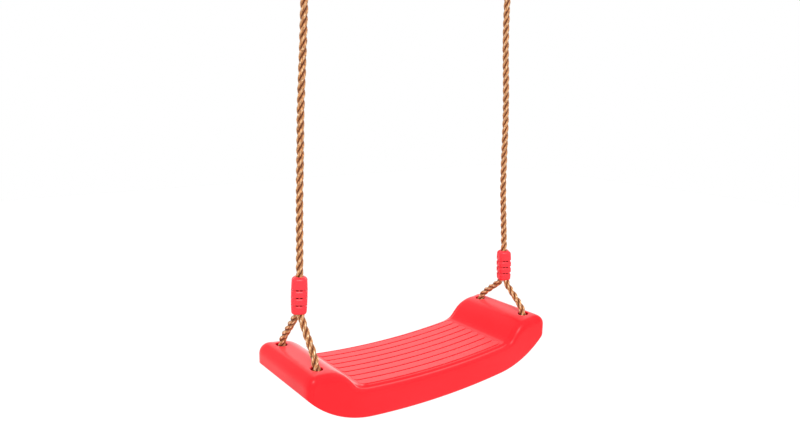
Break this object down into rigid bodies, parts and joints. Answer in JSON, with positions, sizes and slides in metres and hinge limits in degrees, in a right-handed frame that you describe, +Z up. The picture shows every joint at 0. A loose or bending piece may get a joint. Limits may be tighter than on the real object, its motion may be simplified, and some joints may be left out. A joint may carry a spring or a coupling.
{
  "type": "board swing seat",
  "caption": "Contoured plastic board swing seat on two twisted ropes with snap sleeves, hung from pivoting beam hangers.",
  "frame": {"origin": "midway between the two hangers, on the face that bolts up against the beam", "axes": "+Z up, +X along the beam and the seat, front of the seat towards -Y"},
  "size_m": [0.428, 0.15, 0.7746],
  "materials": {
    "seat_plastic": "satin",
    "sleeve_plastic": "satin",
    "rope": "twisted",
    "thimble_steel": "galvanised",
    "link_steel": "galvanised",
    "bracket_steel": "galvanised",
    "fastener_steel": "zinc plated",
    "bush_plastic": "matt"
  },
  "bodies": {
    "root": {"left_bracket": "bracket_steel", "left_pivot_bolt": "fastener_steel", "left_pivot_nut": "fastener_steel", "left_washers": "fastener_steel", "right_bracket": "bracket_steel", "right_pivot_bolt": "fastener_steel", "right_pivot_nut": "fastener_steel", "right_washers": "fastener_steel"},
    "seat": {"seat_board": "seat_plastic", "left_loop_rope": "rope"},
    "right_loop": {"right_loop_rope": "rope"},
    "left_link": {"left_hanger_link": "link_steel", "left_bushes": "bush_plastic"},
    "left_rope": {"left_thimble": "thimble_steel", "left_eye_rope": "rope", "left_rope": "rope", "left_upper_sleeve_front": "sleeve_plastic", "left_upper_sleeve_back": "sleeve_plastic"},
    "left_sleeve": {"left_lower_sleeve_front": "sleeve_plastic", "left_lower_sleeve_back": "sleeve_plastic", "left_clamped_rope": "rope"},
    "right_link": {"right_hanger_link": "link_steel", "right_bushes": "bush_plastic"},
    "right_rope": {"right_thimble": "thimble_steel", "right_eye_rope": "rope", "right_rope": "rope", "right_upper_sleeve_front": "sleeve_plastic", "right_upper_sleeve_back": "sleeve_plastic"},
    "right_sleeve": {"right_lower_sleeve_front": "sleeve_plastic", "right_lower_sleeve_back": "sleeve_plastic", "right_clamped_rope": "rope"}
  },
  "joints": [
    {"name": "left_swing", "type": "hinge", "parent": "root", "child": "left_link", "pos_m": [-0.168, 0, -0.025], "axis": [1, 0, 0], "range_deg": [-50, 50]},
    {"name": "left_sway", "type": "hinge", "parent": "left_link", "child": "left_rope", "pos_m": [-0.168, 0, -0.079], "axis": [0, 1, 0], "range_deg": [-8, 8]},
    {"name": "left_sleeve_flex", "type": "hinge", "parent": "left_rope", "child": "left_sleeve", "pos_m": [-0.185, 0, -0.5851], "axis": [0, 1, 0], "range_deg": [-8, 8]},
    {"name": "seat_pitch", "type": "hinge", "parent": "left_sleeve", "child": "seat", "pos_m": [-0.1867, 0, -0.642], "axis": [1, 0, 0], "range_deg": [-15, 15]},
    {"name": "right_swing", "type": "hinge", "parent": "root", "child": "right_link", "pos_m": [0.168, 0, -0.025], "axis": [1, 0, 0], "range_deg": [-50, 50]},
    {"name": "right_sway", "type": "hinge", "parent": "right_link", "child": "right_rope", "pos_m": [0.168, 0, -0.079], "axis": [0, 1, 0], "range_deg": [-8, 8]},
    {"name": "right_sleeve_flex", "type": "hinge", "parent": "right_rope", "child": "right_sleeve", "pos_m": [0.1896, 0, -0.5999], "axis": [0, 1, 0], "range_deg": [-8, 8]},
    {"name": "right_loop_pitch", "type": "hinge", "parent": "right_sleeve", "child": "right_loop", "pos_m": [0.1917, 0, -0.642], "axis": [1, 0, 0], "range_deg": [-15, 15]}
  ],
  "couplings": [
    {"joint": "left_sleeve_flex", "follows": "left_sway", "ratio": -0.8979},
    {"joint": "right_swing", "follows": "left_swing", "ratio": 1},
    {"joint": "right_sway", "follows": "left_sway", "ratio": 0.9744},
    {"joint": "right_sleeve_flex", "follows": "left_sway", "ratio": -0.8723},
    {"joint": "right_loop_pitch", "follows": "seat_pitch", "ratio": 1}
  ]
}
